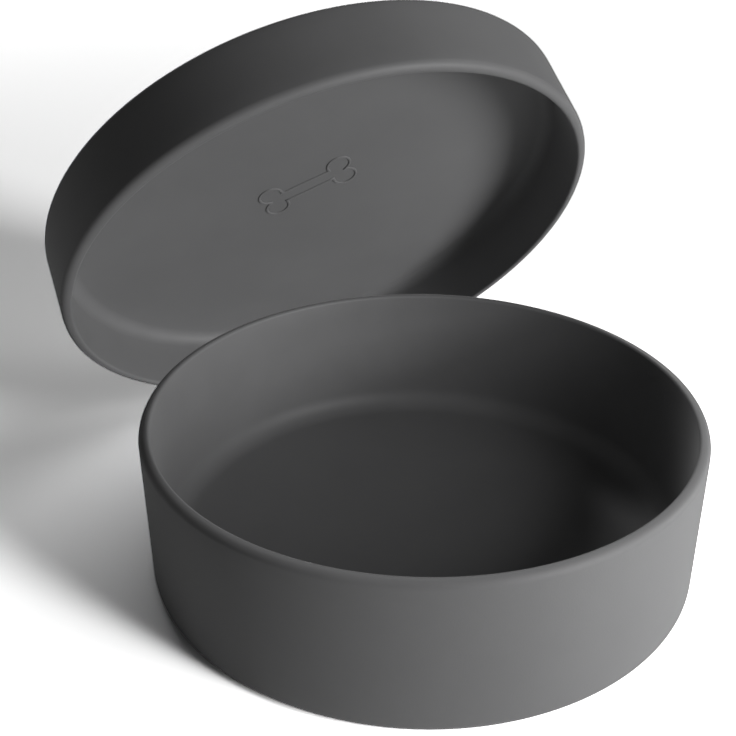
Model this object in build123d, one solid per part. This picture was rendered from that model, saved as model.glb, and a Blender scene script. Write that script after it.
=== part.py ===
"""Silicone dog bowl with its lid.

Two mouldings make the whole object: a low round bowl that stands on the table, and a shallow
lid that drops over the bowl's rim or, turned over, is a second dish. The lid is shown off the
bowl, on edge behind it and leaning forward over the back of the rim with its inside to the
front.

Millimetres, +Z up. The origin is the centre of the bowl's underside, on the table. +Y points
to the back, where the lid stands.
"""
import os
from math import cos, radians, sin

from build123d import *

# Bowl: the wall leans out from the base to the rim.
BOWL_RIM_RADIUS = 85.0
BOWL_BASE_RADIUS = 84.6
BOWL_HEIGHT = 49.0
BOWL_WALL = 3.5
BOWL_FLOOR = 4.0
BOWL_BASE_EDGE = 3.0
BOWL_FLOOR_SWEEP = 7.0

# Lid: a skirt under a flat top, wide enough to drop over the bowl's rim.
LID_CLEARANCE = 3.5
LID_WALL = 3.5
LID_HEIGHT = 26.0
LID_FLOOR = 3.5
LID_TAPER = 0.4
LID_BASE_EDGE = 2.4
LID_FLOOR_SWEEP = 5.0

# Rims: a wide round on the outside, and what is left of the wall rounds tightly to the inside.
RIM_OUTER_EDGE = 2.4
RIM_CREST = 0.1

# Grip grooves: shallow rings in the face that each moulding stands on, so that it doesn't
# slide or stick down like a sucker.
GROOVE_COUNT = 3
GROOVE_PITCH = 7.0
GROOVE_RADIUS = 1.3
GROOVE_TOOL_OFFSET = 0.5
GROOVE_INSET = 9.0

# Where the lid stands: its tilt from lying flat, and how far its opening stays off the rim.
LID_LEAN = 54.5
LEAN_GAP = 0.3

LID_RIM_RADIUS = BOWL_RIM_RADIUS + LID_CLEARANCE + LID_WALL
LID_BASE_RADIUS = LID_RIM_RADIUS - LID_TAPER


def wall_lean(rim_radius, base_radius, height):
    """How far a wall leans out for each millimetre of height."""
    return (rim_radius - base_radius) / height


def rim_setback(lean):
    """How far along the rim a round of radius 1 on its outer edge starts from the corner."""
    return lean + (1 + lean * lean) ** 0.5


def dish_section(rim_radius, base_radius, height, wall, floor, base_edge, floor_sweep):
    """Half section of a straight-walled dish that stands on z = 0, in the XZ plane."""
    lean = wall_lean(rim_radius, base_radius, height)
    rim_width = wall * (1 + lean * lean) ** 0.5
    inner_rim = rim_radius - rim_width
    inner_floor = base_radius + lean * floor - rim_width
    corners = [
        (0, 0),
        (base_radius, 0),
        (rim_radius, height),
        (inner_rim, height),
        (inner_floor, floor),
        (0, floor),
    ]
    section = make_face(Plane.XZ * Polyline(*corners, close=True))

    # The inner round takes what the outer round and the crest leave of the rim's width.
    rim_left = rim_width - RIM_CREST - RIM_OUTER_EDGE * rim_setback(lean)
    rim_inner_edge = rim_left * rim_setback(lean)
    rounds = [
        (base_radius, 0, base_edge),
        (rim_radius, height, RIM_OUTER_EDGE),
        (inner_rim, height, rim_inner_edge),
        (inner_floor, floor, floor_sweep),
    ]
    for x, z, radius in rounds:
        corner = section.vertices().sort_by_distance((x, 0, z))[0]
        section = fillet(corner, radius).face()
    return section


def grip_grooves(base_radius, base_edge):
    """Rings to be cut from the underside, at the edge of its flat. Each leaves a half round.

    The cutting circle stands a little off the plane through the axis, as a turning tool does
    that is set off centre. That moves each ring out by less than 0.003 mm.
    """
    outermost = base_radius - base_edge - GROOVE_INSET
    tool_plane = Plane.XZ.offset(-GROOVE_TOOL_OFFSET)
    rings = []
    for index in range(GROOVE_COUNT):
        radius = outermost - index * GROOVE_PITCH
        rings.append(revolve(tool_plane * Pos(radius, 0) * Circle(GROOVE_RADIUS), Axis.Z))
    return rings


def dish(rim_radius, base_radius, height, wall, floor, base_edge, floor_sweep):
    """One moulding, standing on its base with the opening up."""
    section = dish_section(rim_radius, base_radius, height, wall, floor, base_edge, floor_sweep)
    body = revolve(section, Axis.Z)
    return body - grip_grooves(base_radius, base_edge)


def make_bowl():
    """The food bowl, where it stands."""
    return dish(
        BOWL_RIM_RADIUS,
        BOWL_BASE_RADIUS,
        BOWL_HEIGHT,
        BOWL_WALL,
        BOWL_FLOOR,
        BOWL_BASE_EDGE,
        BOWL_FLOOR_SWEEP,
    )


def rim_round_centre(rim_radius, base_radius, height):
    """Radius and height of the centre of the round on a rim's outer edge."""
    lean = wall_lean(rim_radius, base_radius, height)
    return rim_radius - RIM_OUTER_EDGE * rim_setback(lean), height - RIM_OUTER_EDGE


def lid_place():
    """Where the middle of the lid's opening is when it leans behind the bowl.

    The bottom of the lid's rim rests on the table. The plane of its opening passes just over
    the back of the bowl's rim.
    """
    back = sin(radians(LID_LEAN))
    up = cos(radians(LID_LEAN))
    lid_round, _ = rim_round_centre(LID_RIM_RADIUS, LID_BASE_RADIUS, LID_HEIGHT)
    bowl_round, bowl_top = rim_round_centre(BOWL_RIM_RADIUS, BOWL_BASE_RADIUS, BOWL_HEIGHT)
    z = back * lid_round - up * RIM_OUTER_EDGE + RIM_OUTER_EDGE
    rim_reach = back * bowl_round + up * bowl_top + RIM_OUTER_EDGE
    y = (rim_reach + LEAN_GAP - up * z) / back
    return y, z


def make_lid():
    """The lid, on edge behind the bowl with its inside to the front."""
    lid = dish(
        LID_RIM_RADIUS,
        LID_BASE_RADIUS,
        LID_HEIGHT,
        LID_WALL,
        LID_FLOOR,
        LID_BASE_EDGE,
        LID_FLOOR_SWEEP,
    )
    y, z = lid_place()
    opening_down = Rot(180, 0, 0) * Pos(0, 0, -LID_HEIGHT)
    return Pos(0, y, z) * Rot(-LID_LEAN, 0, 0) * opening_down * lid


if __name__ == "__main__":
    os.makedirs("parts", exist_ok=True)
    for node, make in (("bowl", make_bowl), ("lid", make_lid)):
        solid = make()
        box = solid.bounding_box()
        print(node, "volume", round(solid.volume), "low", box.min, "high", box.max)
        export_step(solid, f"parts/{node}.step")
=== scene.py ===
# %% [markdown]
# # A silicone dog bowl with its lid
#
# The real object is two soft mouldings: a low round bowl, and a wide shallow lid that drops over
# its rim. The lid stands on edge behind the bowl and leans forward over it, so that its inside
# shows. Everything is matt charcoal silicone, which has a very fine grain from the mould, a thin
# pale bloom and hardly any gloss.
#
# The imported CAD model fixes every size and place. This file adds what CAD leaves out: round,
# finely divided surfaces, the material, the floor, the light and the camera.

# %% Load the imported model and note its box
import math

import bmesh
import bpy
from mathutils import Matrix, Vector


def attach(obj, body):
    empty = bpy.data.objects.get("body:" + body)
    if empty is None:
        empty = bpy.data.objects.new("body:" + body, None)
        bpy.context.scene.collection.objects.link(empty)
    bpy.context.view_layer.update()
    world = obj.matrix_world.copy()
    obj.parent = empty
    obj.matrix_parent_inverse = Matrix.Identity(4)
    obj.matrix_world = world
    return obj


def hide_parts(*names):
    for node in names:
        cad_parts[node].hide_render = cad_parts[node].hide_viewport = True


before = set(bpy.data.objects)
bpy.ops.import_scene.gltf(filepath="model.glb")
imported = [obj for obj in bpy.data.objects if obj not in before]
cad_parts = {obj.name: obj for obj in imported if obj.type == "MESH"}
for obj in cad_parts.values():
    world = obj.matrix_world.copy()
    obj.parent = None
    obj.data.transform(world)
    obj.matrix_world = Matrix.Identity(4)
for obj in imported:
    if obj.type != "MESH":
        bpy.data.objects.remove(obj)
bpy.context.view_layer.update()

# %% [markdown]
# ## Sizes
#
# These are the CAD model's own sizes. They are written in millimetres, because that is how a
# moulder would say them. The factor MM turns them into Blender's metres.

# %% Sizes of the two mouldings
MM = 0.001

BOWL = dict(
    rim_radius=85.0, base_radius=84.6, height=49.0, wall=3.5, floor=4.0, base_edge=3.0, sweep=7.0
)
LID = dict(
    rim_radius=92.0, base_radius=91.6, height=26.0, wall=3.5, floor=3.5, base_edge=2.4, sweep=5.0
)
RIM_OUTER_EDGE = 2.4
RIM_CREST = 0.1
GROOVES = dict(count=3, pitch=7.0, radius=1.3, inset=9.0)
LID_LEAN = math.radians(54.5)
LEAN_GAP = 0.3
print("lid drops over the rim with", LID["rim_radius"] - LID["wall"] - BOWL["rim_radius"], "mm")

# %% [markdown]
# ## The section that both mouldings share
#
# A round dish is one section turned about its axis. The section could be drawn point by point,
# but then every rounding would be a list of numbers. Here it starts from its sharp corners, and
# a vertex bevel rounds each corner by its own radius, as the toolmaker's radius cutter does.
# Long straight runs are divided afterwards, so that the turned surface has even faces. Only the
# edges of the grip grooves stay sharp, and they are marked so for the shading.
#
# A grip groove is half round. It starts as a square slot with two corners, and each corner is cut
# back by nearly the groove's radius, so that the two rounds almost meet in its middle.

# %% Helpers for the section
ROUND_SEGMENTS = 8
LONGEST_RUN = 5.0
GROOVE_CUT_BACK = 0.98


def wall_lean(dish):
    """How far the wall leans out for each millimetre of height."""
    return (dish["rim_radius"] - dish["base_radius"]) / dish["height"]


def rim_setback(lean):
    """Where a round of radius 1 on the rim's outer edge starts, measured from the corner."""
    return lean + math.sqrt(1 + lean * lean)


def rim_width(dish):
    """The wall's thickness measured level across the rim."""
    return dish["wall"] * math.sqrt(1 + wall_lean(dish) ** 2)


def rim_rounds(dish):
    """Distances from the rim's two corners at which its outer and inner rounds start."""
    lean = wall_lean(dish)
    outer = RIM_OUTER_EDGE * rim_setback(lean)
    return outer, rim_width(dish) - RIM_CREST - outer


def section_corners(dish):
    """Sharp corners of the half section and how far each is cut back when it is rounded."""
    lean = wall_lean(dish)
    width = rim_width(dish)
    outer, inner = rim_rounds(dish)
    top, floor = dish["height"], dish["floor"]
    corners = [(0.0, 0.0, 0.0)]
    groove = GROOVES["radius"]
    first = dish["base_radius"] - dish["base_edge"] - GROOVES["inset"]
    for index in reversed(range(GROOVES["count"])):
        middle = first - index * GROOVES["pitch"]
        corners += [
            (middle - groove, 0.0, 0.0),
            (middle - groove, groove, GROOVE_CUT_BACK * groove),
            (middle + groove, groove, GROOVE_CUT_BACK * groove),
            (middle + groove, 0.0, 0.0),
        ]
    corners += [
        (dish["base_radius"], 0.0, dish["base_edge"]),
        (dish["rim_radius"], top, outer),
        (dish["rim_radius"] - width, top, inner),
        (dish["base_radius"] + lean * floor - width, floor, dish["sweep"]),
        (0.0, floor, 0.0),
    ]
    return corners


def divide_long_runs(bm, longest):
    """Divides every edge of the section that is longer than this."""
    for edge in list(bm.edges):
        cuts = int(edge.calc_length() / longest)
        if cuts:
            bmesh.ops.subdivide_edges(bm, edges=[edge], cuts=cuts)


# %% Helper that turns a section into a closed moulding
TURN_STEPS = 240
ARC_PROFILE = 0.5
SHARP_FROM = math.radians(40)
SAME_PLACE = 1e-6


def turned_dish(name, dish):
    """A new object from the dish's section, standing on z = 0 with its opening up."""
    bm = bmesh.new()
    corners = section_corners(dish)
    points = [bm.verts.new((x * MM, 0.0, z * MM)) for x, z, _ in corners]
    for start, end in zip(points, points[1:]):
        bm.edges.new((start, end))
    for point, (_, _, cut_back) in zip(points, corners):
        if cut_back:
            bmesh.ops.bevel(
                bm,
                geom=[point],
                offset=cut_back * MM,
                offset_type="OFFSET",
                affect="VERTICES",
                segments=ROUND_SEGMENTS,
                profile=ARC_PROFILE,
                material=-1,
            )
    divide_long_runs(bm, LONGEST_RUN * MM)
    rows = len(bm.verts)
    bmesh.ops.spin(
        bm,
        geom=bm.verts[:] + bm.edges[:],
        cent=(0, 0, 0),
        axis=(0, 0, 1),
        angle=math.tau,
        steps=TURN_STEPS,
        use_merge=True,
    )
    bmesh.ops.remove_doubles(bm, verts=bm.verts, dist=SAME_PLACE)
    bmesh.ops.recalc_face_normals(bm, faces=bm.faces)
    for face in bm.faces:
        face.smooth = True
    for edge in bm.edges:
        edge.smooth = edge.calc_face_angle() < SHARP_FROM
    mesh = bpy.data.meshes.new(name)
    bm.to_mesh(mesh)
    bm.free()
    piece = bpy.data.objects.new(name, mesh)
    bpy.context.scene.collection.objects.link(piece)
    print(name, "section points", rows, "faces", len(mesh.polygons))
    return piece


# %% [markdown]
# ## The bowl
#
# The bowl's wall is nearly upright, and its floor sweeps up into the wall so that a tongue can
# clean the corner. Its rim has a wide round outside and a tight one inside. The CAD solid has the
# same form but flat facets, which would show as bands in the soft highlight, so the turned mesh
# stands for it.

# %% Make the bowl
bowl_shell = turned_dish("bowl_shell", BOWL)
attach(bowl_shell, "bowl")
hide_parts("bowl")
print("bowl_shell size in mm", [round(side * 1000, 1) for side in bowl_shell.dimensions])

# %% [markdown]
# ## The lid
#
# The lid has the same section, only wider and lower. It is made lying as a dish and then tipped:
# first its opening is turned down, then it leans back until its rim stands on the table and the
# plane of its opening passes just over the bowl's rim.

# %% Work out where the lid stands
back, up = math.sin(LID_LEAN), math.cos(LID_LEAN)
lid_round = LID["rim_radius"] - RIM_OUTER_EDGE * rim_setback(wall_lean(LID))
bowl_round = BOWL["rim_radius"] - RIM_OUTER_EDGE * rim_setback(wall_lean(BOWL))
opening_z = back * lid_round - up * RIM_OUTER_EDGE + RIM_OUTER_EDGE
rim_reach = back * bowl_round + up * (BOWL["height"] - RIM_OUTER_EDGE) + RIM_OUTER_EDGE
opening_y = (rim_reach + LEAN_GAP - up * opening_z) / back
lid_place = (
    Matrix.Translation((0, opening_y * MM, opening_z * MM))
    @ Matrix.Rotation(-LID_LEAN, 4, "X")
    @ Matrix.Rotation(math.pi, 4, "X")
    @ Matrix.Translation((0, 0, -LID["height"] * MM))
)
print("middle of the lid's opening", round(opening_y, 2), round(opening_z, 2))

# %% Make the lid and stand it behind the bowl
lid_shell = turned_dish("lid_shell", LID)
lid_shell.data.transform(lid_place)
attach(lid_shell, "lid")
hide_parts("lid")
print("lid_shell box in mm", [round(side * 1000, 1) for side in lid_shell.dimensions])

# %% [markdown]
# ## The raised sign in the lid
#
# The mould leaves a small raised outline in the middle of the lid's inside: a plain bone, a third
# of a millimetre proud. A bump would do from afar, but a real ridge catches the light along one
# side from every angle. One lobe is spun from a single point, mirrored twice and joined by the
# bar's two edges, which are cut into short lengths so that their shading stays even. An inset
# makes the band, and its top edges are rounded.

# %% Outline of the bone
BONE = dict(lobe_radius=4.4, lobe_x=12.6, lobe_y=3.9, bar_half=3.1)
RIDGE = dict(width=0.9, height=0.35, sunk=0.3, edge=0.28)
LOBE_STEPS = 24
BAR_CUTS = 15
EDGE_SEGMENTS = 3

outline = bmesh.new()
lobe_middle = Vector((BONE["lobe_x"] * MM, BONE["lobe_y"] * MM, 0.0))
leaves_bar = math.pi + math.asin((BONE["lobe_y"] - BONE["bar_half"]) / BONE["lobe_radius"])
meets_twin = -math.asin(BONE["lobe_y"] / BONE["lobe_radius"])
reach = Vector((BONE["lobe_radius"] * MM, 0.0, 0.0))
first = outline.verts.new(lobe_middle + Matrix.Rotation(leaves_bar, 3, "Z") @ reach)
bmesh.ops.spin(
    outline,
    geom=[first],
    cent=lobe_middle,
    axis=(0, 0, 1),
    angle=meets_twin - leaves_bar,
    steps=LOBE_STEPS,
)
for axis in ("Y", "X"):
    bmesh.ops.mirror(
        outline,
        geom=outline.verts[:] + outline.edges[:],
        matrix=Matrix.Identity(4),
        merge_dist=SAME_PLACE,
        axis=axis,
    )
bmesh.ops.remove_doubles(outline, verts=outline.verts, dist=SAME_PLACE)
bar_ends = [point for point in outline.verts if len(point.link_edges) == 1]
bars = [
    outline.edges.new([point for point in bar_ends if point.co.y * side > 0]) for side in (1, -1)
]
bmesh.ops.subdivide_edges(outline, edges=bars, cuts=BAR_CUTS)
bmesh.ops.contextual_create(outline, geom=outline.edges[:])
print("bone outline points", len(outline.verts), "faces", len(outline.faces))

# %% Make the ridge from the outline
# The ridge's sides meet its top at more than this angle, in radians.
TOP_EDGE_FROM = 1.0

bmesh.ops.inset_region(
    outline,
    faces=outline.faces[:],
    thickness=RIDGE["width"] * MM,
    use_boundary=True,
    use_even_offset=True,
)
inside = max(outline.faces, key=lambda face: len(face.verts))
bmesh.ops.delete(outline, geom=[inside], context="FACES_KEEP_BOUNDARY")
bmesh.ops.solidify(
    outline, geom=outline.faces[:], thickness=(RIDGE["height"] + RIDGE["sunk"]) * MM
)
bmesh.ops.recalc_face_normals(outline, faces=outline.faces)
crown = max(point.co.z for point in outline.verts)
top_edges = [
    edge
    for edge in outline.edges
    if all(crown - point.co.z < SAME_PLACE for point in edge.verts)
    and edge.calc_face_angle() > TOP_EDGE_FROM
]
bmesh.ops.bevel(
    outline,
    geom=top_edges,
    offset=RIDGE["edge"] * MM,
    offset_type="OFFSET",
    affect="EDGES",
    segments=EDGE_SEGMENTS,
    profile=ARC_PROFILE,
    material=-1,
)
for face in outline.faces:
    face.smooth = True
print("ridge faces", len(outline.faces), "top edges", len(top_edges))

# %% Set the ridge into the lid's inner floor
SIGN_MIDDLE = (-4.1, 10.0)
SIGN_TURN = math.radians(29.6)

bmesh.ops.translate(
    outline, verts=outline.verts, vec=(0, 0, (LID["floor"] + RIDGE["height"]) * MM - crown)
)
bmesh.ops.rotate(
    outline, verts=outline.verts, cent=(0, 0, 0), matrix=Matrix.Rotation(SIGN_TURN, 3, "Z")
)
bmesh.ops.translate(
    outline, verts=outline.verts, vec=(SIGN_MIDDLE[0] * MM, SIGN_MIDDLE[1] * MM, 0)
)
bmesh.ops.transform(outline, verts=outline.verts, matrix=lid_place)
mesh = bpy.data.meshes.new("bone_relief")
outline.to_mesh(mesh)
outline.free()
bone_relief = bpy.data.objects.new("bone_relief", mesh)
bpy.context.scene.collection.objects.link(bone_relief)
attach(bone_relief, "lid")
print("bone_relief faces", len(mesh.polygons))

# %% [markdown]
# ## The material
#
# Moulded silicone takes the mould's fine blasted grain and has a dry, matt skin with a faint
# bloom. One Principled shader does it: a dark grey base whose tone wanders a little, a roughness
# that wanders with it, and a fine bump for the grain. A little sheen lifts the tone where the
# skin is seen edge on, as a dusty bloom does. The wandering is in a node group that the bowl's
# and the lid's materials share. Each has its own inputs for the two tones, so that either piece
# can be given another colour.

# %% Node group for the moulded skin
def socket(group, name, kind, direction):
    """Adds a socket to a node group's face."""
    group.interface.new_socket(name=name, in_out=direction, socket_type=kind)


moulded_skin = bpy.data.node_groups.new("moulded_skin", "ShaderNodeTree")
socket(moulded_skin, "Vector", "NodeSocketVector", "INPUT")
socket(moulded_skin, "Base", "NodeSocketColor", "INPUT")
socket(moulded_skin, "Bloom", "NodeSocketColor", "INPUT")
socket(moulded_skin, "Color", "NodeSocketColor", "OUTPUT")
socket(moulded_skin, "Roughness", "NodeSocketFloat", "OUTPUT")
socket(moulded_skin, "Height", "NodeSocketFloat", "OUTPUT")
nodes, links = moulded_skin.nodes, moulded_skin.links
came_in = nodes.new("NodeGroupInput")
goes_out = nodes.new("NodeGroupOutput")

cloud = nodes.new("ShaderNodeTexNoise")
cloud.inputs["Scale"].default_value = 28
cloud.inputs["Detail"].default_value = 5
cloud.inputs["Roughness"].default_value = 0.6
links.new(came_in.outputs["Vector"], cloud.inputs["Vector"])

grain = nodes.new("ShaderNodeTexNoise")
grain.inputs["Scale"].default_value = 2600
grain.inputs["Detail"].default_value = 2
links.new(came_in.outputs["Vector"], grain.inputs["Vector"])

bloom_mask = nodes.new("ShaderNodeMapRange")
bloom_mask.inputs["From Min"].default_value = 0.38
bloom_mask.inputs["From Max"].default_value = 0.72
bloom_mask.inputs["To Max"].default_value = 0.3
links.new(cloud.outputs["Fac"], bloom_mask.inputs["Value"])

tone = nodes.new("ShaderNodeMix")
tone.data_type = "RGBA"
links.new(bloom_mask.outputs["Result"], tone.inputs["Factor"])
links.new(came_in.outputs["Base"], tone.inputs["A"])
links.new(came_in.outputs["Bloom"], tone.inputs["B"])
links.new(tone.outputs["Result"], goes_out.inputs["Color"])

dryness = nodes.new("ShaderNodeMapRange")
dryness.inputs["From Min"].default_value = 0.3
dryness.inputs["From Max"].default_value = 0.7
dryness.inputs["To Min"].default_value = 0.52
dryness.inputs["To Max"].default_value = 0.62
links.new(cloud.outputs["Fac"], dryness.inputs["Value"])
links.new(dryness.outputs["Result"], goes_out.inputs["Roughness"])
links.new(grain.outputs["Fac"], goes_out.inputs["Height"])
print("moulded_skin nodes", len(nodes))

# %% Charcoal silicone for each moulding
CHARCOAL = (0.205, 0.205, 0.208)
PALE_BLOOM = (0.27, 0.27, 0.273)


def silicone(name, base, bloom):
    """Matt pigmented silicone on the moulded skin."""
    material = bpy.data.materials.new(name)
    material.use_nodes = True
    tree = material.node_tree
    shader = tree.nodes["Principled BSDF"]
    shader.inputs["Specular IOR Level"].default_value = 0.5
    shader.inputs["Sheen Weight"].default_value = 0.3
    shader.inputs["Sheen Roughness"].default_value = 0.35
    place = tree.nodes.new("ShaderNodeTexCoord")
    skin = tree.nodes.new("ShaderNodeGroup")
    skin.node_tree = moulded_skin
    skin.inputs["Base"].default_value = (*base, 1)
    skin.inputs["Bloom"].default_value = (*bloom, 1)
    bump = tree.nodes.new("ShaderNodeBump")
    bump.inputs["Strength"].default_value = 0.25
    bump.inputs["Distance"].default_value = 0.0001
    tree.links.new(place.outputs["Object"], skin.inputs["Vector"])
    tree.links.new(skin.outputs["Color"], shader.inputs["Base Color"])
    tree.links.new(skin.outputs["Roughness"], shader.inputs["Roughness"])
    tree.links.new(skin.outputs["Height"], bump.inputs["Height"])
    tree.links.new(bump.outputs["Normal"], shader.inputs["Normal"])
    return material


bowl_silicone = silicone("charcoal_silicone_bowl", CHARCOAL, PALE_BLOOM)
lid_silicone = silicone("charcoal_silicone_lid", CHARCOAL, PALE_BLOOM)
bowl_shell.data.materials.append(bowl_silicone)
lid_shell.data.materials.append(lid_silicone)
bone_relief.data.materials.append(lid_silicone)
print("materials", bowl_silicone.name, lid_silicone.name)

# %% [markdown]
# ## Floor and surroundings
#
# The set is a white table that runs out into white. The white isn't made with more light, which
# would wash out the dark silicone, but with the floor's colour: to the camera it is many times
# brighter than to the light that bounces off it, and still more so far from the object. The long
# soft shadows stay, because they lie on that same floor. The world is white to the camera, black
# to plain light, and only a dim grey in the gloss, where white would lay a veil over matt skin.

# %% Helpers for what the camera sees
def seen_by_eye(tree, path):
    """A socket that is 1 for what the camera sees, by itself or through something clear."""
    either = tree.nodes.new("ShaderNodeMath")
    either.operation = "MAXIMUM"
    tree.links.new(path.outputs["Is Camera Ray"], either.inputs[0])
    tree.links.new(path.outputs["Is Transmission Ray"], either.inputs[1])
    return either.outputs["Value"]


def background(tree, tone):
    """A plain grey background of the world."""
    made = tree.nodes.new("ShaderNodeBackground")
    made.inputs["Color"].default_value = (tone, tone, tone, 1)
    return made


# %% Floor
FLOOR_HALF_SIZE = 6.0
FLOOR_BOUNCE = 0.9
FLOOR_IN_GLOSS = 2.2
FLOOR_SEEN_NEAR = 6.6
FLOOR_SEEN_FAR = 10.0
RUN_OUT_FROM = 0.4
RUN_OUT_TO = 1.2

bm = bmesh.new()
bmesh.ops.create_grid(bm, x_segments=1, y_segments=1, size=FLOOR_HALF_SIZE)
floor_mesh = bpy.data.meshes.new("floor")
bm.to_mesh(floor_mesh)
bm.free()
floor = bpy.data.objects.new("floor", floor_mesh)
bpy.context.scene.collection.objects.link(floor)

paper = bpy.data.materials.new("white_paper")
paper.use_nodes = True
tree = paper.node_tree
tree.nodes.clear()
out = tree.nodes.new("ShaderNodeOutputMaterial")
diffuse = tree.nodes.new("ShaderNodeBsdfDiffuse")
path = tree.nodes.new("ShaderNodeLightPath")
mirrored = tree.nodes.new("ShaderNodeMix")
mirrored.data_type = "RGBA"
mirrored.inputs["A"].default_value = (FLOOR_BOUNCE, FLOOR_BOUNCE, FLOOR_BOUNCE, 1)
mirrored.inputs["B"].default_value = (FLOOR_IN_GLOSS, FLOOR_IN_GLOSS, FLOOR_IN_GLOSS, 1)
tree.links.new(path.outputs["Is Glossy Ray"], mirrored.inputs["Factor"])

place = tree.nodes.new("ShaderNodeTexCoord")
distance = tree.nodes.new("ShaderNodeVectorMath")
distance.operation = "LENGTH"
tree.links.new(place.outputs["Object"], distance.inputs[0])
run_out = tree.nodes.new("ShaderNodeMapRange")
run_out.interpolation_type = "SMOOTHSTEP"
run_out.inputs["From Min"].default_value = RUN_OUT_FROM
run_out.inputs["From Max"].default_value = RUN_OUT_TO
run_out.inputs["To Min"].default_value = FLOOR_SEEN_NEAR
run_out.inputs["To Max"].default_value = FLOOR_SEEN_FAR
tree.links.new(distance.outputs["Value"], run_out.inputs["Value"])

seen = tree.nodes.new("ShaderNodeMix")
seen.data_type = "RGBA"
tree.links.new(seen_by_eye(tree, path), seen.inputs["Factor"])
tree.links.new(mirrored.outputs["Result"], seen.inputs["A"])
tree.links.new(run_out.outputs["Result"], seen.inputs["B"])
tree.links.new(seen.outputs["Result"], diffuse.inputs["Color"])
tree.links.new(diffuse.outputs["BSDF"], out.inputs["Surface"])
floor_mesh.materials.append(paper)
print("floor", 2 * FLOOR_HALF_SIZE, "m wide, nodes", len(tree.nodes))

# %% World
WORLD_IN_GLOSS = 0.15

world = bpy.data.worlds.new("studio")
bpy.context.scene.world = world
world.use_nodes = True
tree = world.node_tree
tree.nodes.clear()
out = tree.nodes.new("ShaderNodeOutputWorld")
dark = background(tree, 0)
grey = background(tree, WORLD_IN_GLOSS)
white = background(tree, 1)
path = tree.nodes.new("ShaderNodeLightPath")
in_gloss = tree.nodes.new("ShaderNodeMixShader")
tree.links.new(path.outputs["Is Glossy Ray"], in_gloss.inputs["Fac"])
tree.links.new(dark.outputs["Background"], in_gloss.inputs[1])
tree.links.new(grey.outputs["Background"], in_gloss.inputs[2])
pick = tree.nodes.new("ShaderNodeMixShader")
tree.links.new(seen_by_eye(tree, path), pick.inputs["Fac"])
tree.links.new(in_gloss.outputs["Shader"], pick.inputs[1])
tree.links.new(white.outputs["Background"], pick.inputs[2])
tree.links.new(pick.outputs["Shader"], out.inputs["Surface"])
print("world nodes", len(tree.nodes))

# %% [markdown]
# ## Light
#
# A low key from the front right draws the long shadow, and a wide lamp from behind opens it. Two
# small boxes model the bowl's wall: one near its front, one far out at its side. The lid leans
# over the bowl, and in one shared light the bowl would throw a band of shadow into it. So the lid
# has a key, a side lamp and a back lamp of its own, which the bowl doesn't block, and the others
# are flagged off it. The rim lamp is flagged off all but the bowl, where it draws the rim's line.

# %% Helpers for lamps
AIM = (0.0, 0.04, 0.06)


def placed_lamp(data, towards):
    """Puts a lamp into the scene that shines from this direction."""
    lamp = bpy.data.objects.new(data.name, data)
    bpy.context.scene.collection.objects.link(lamp)
    lamp.rotation_euler = (-towards).to_track_quat("-Z", "Y").to_euler()
    return lamp


def soft_sun(name, azimuth, elevation, spread, strength):
    """A distant soft lamp. Azimuth 0 is behind the camera's side, -Y, and turns towards +X."""
    data = bpy.data.lights.new(name, "SUN")
    data.angle = math.radians(spread)
    data.energy = strength
    turn, lift = math.radians(azimuth), math.radians(elevation)
    towards = Vector(
        (math.sin(turn) * math.cos(lift), -math.cos(turn) * math.cos(lift), math.sin(lift))
    )
    return placed_lamp(data, towards)


def near_lamp(name, azimuth, distance, height, size, power):
    """A soft box near the set, turned to the object. Sizes are its width and height."""
    data = bpy.data.lights.new(name, "AREA")
    data.shape = "RECTANGLE"
    data.size, data.size_y = size
    data.energy = power
    turn = math.radians(azimuth)
    place = Vector((math.sin(turn) * distance, -math.cos(turn) * distance, height))
    lamp = placed_lamp(data, place - Vector(AIM))
    lamp.location = place
    lamp.visible_camera = False
    return lamp


def reaches(lamp, pieces, shaded_by=None):
    """Flags the lamp off all but these pieces. Only shaded_by, if given, blocks its light."""
    lit = bpy.data.collections.new(lamp.name + "_reaches")
    for piece in pieces:
        lit.objects.link(piece)
    lamp.light_linking.receiver_collection = lit
    if shaded_by:
        blocks = bpy.data.collections.new(lamp.name + "_is_blocked_by")
        for piece in shaded_by:
            blocks.objects.link(piece)
        lamp.light_linking.blocker_collection = blocks


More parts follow.
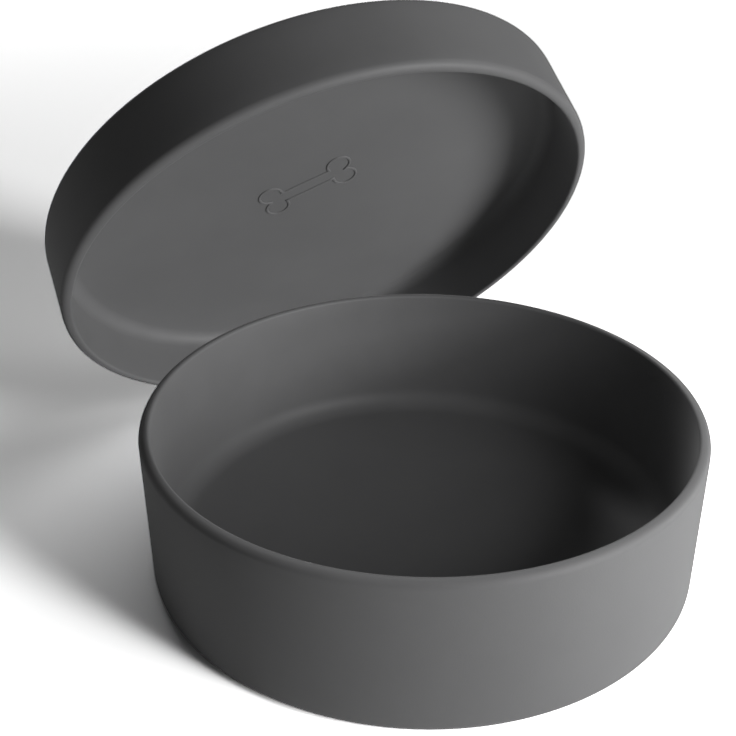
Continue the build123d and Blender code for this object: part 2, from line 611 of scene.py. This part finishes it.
# %% Lamps for the bowl and the floor
key = soft_sun("key", azimuth=29, elevation=13, spread=14, strength=0.94)
back_fill = soft_sun("back_fill", azimuth=160, elevation=15, spread=50, strength=0.52)
front_box = near_lamp(
    "front_box", azimuth=25, distance=0.3, height=0.18, size=(0.16, 0.16), power=0.44
)
side_box = near_lamp(
    "side_box", azimuth=75, distance=0.9, height=0.1, size=(0.28, 0.18), power=1.65
)
shared_lamps = (key, back_fill, front_box, side_box)
for lamp in shared_lamps:
    reaches(lamp, (bowl_shell, floor))

rim_lamp = soft_sun("rim_lamp", azimuth=168, elevation=52, spread=20, strength=0.75)
reaches(rim_lamp, (bowl_shell,))
print("lamps for the bowl", [lamp.name for lamp in (*shared_lamps, rim_lamp)])

# %% Lamps for the lid
lid_key = soft_sun("lid_key", azimuth=31, elevation=0, spread=26, strength=1.9)
lid_side = soft_sun("lid_side", azimuth=80, elevation=40, spread=14, strength=0.5)
lid_back = soft_sun("lid_back", azimuth=175, elevation=20, spread=50, strength=0.3)
lid_lamps = (lid_key, lid_side, lid_back)
lid_pieces = (lid_shell, bone_relief)
for lamp in lid_lamps:
    reaches(lamp, lid_pieces, shaded_by=lid_pieces)
print("lamps for the lid", [lamp.name for lamp in lid_lamps])

# %% [markdown]
# ## Camera
#
# The camera's place, turn, pitch, roll and lens were found by laying the outlines of the CAD model
# over those in the photograph, and turning all of them together until they met.

# %% Camera
CAMERA_PLACE = (-0.1411, -0.27317, 0.22527)
CAMERA_TURN = math.radians(-24.277)
CAMERA_PITCH = math.radians(27.92)
CAMERA_ROLL = math.radians(-0.399)
CAMERA_LENS = 57.153
SENSOR_WIDTH = 36

camera_data = bpy.data.cameras.new("camera")
camera_data.sensor_width = SENSOR_WIDTH
camera_data.lens = CAMERA_LENS
camera = bpy.data.objects.new("camera", camera_data)
bpy.context.scene.collection.objects.link(camera)
camera.location = CAMERA_PLACE
turned = Matrix.Rotation(CAMERA_TURN, 3, "Z")
pitched = turned @ Matrix.Rotation(math.pi / 2 - CAMERA_PITCH, 3, "X")
camera.rotation_euler = (pitched @ Matrix.Rotation(CAMERA_ROLL, 3, "Z")).to_euler()
bpy.context.scene.camera = camera
bpy.context.scene.view_settings.view_transform = "Standard"
print("camera turned", [round(math.degrees(angle), 2) for angle in camera.rotation_euler])
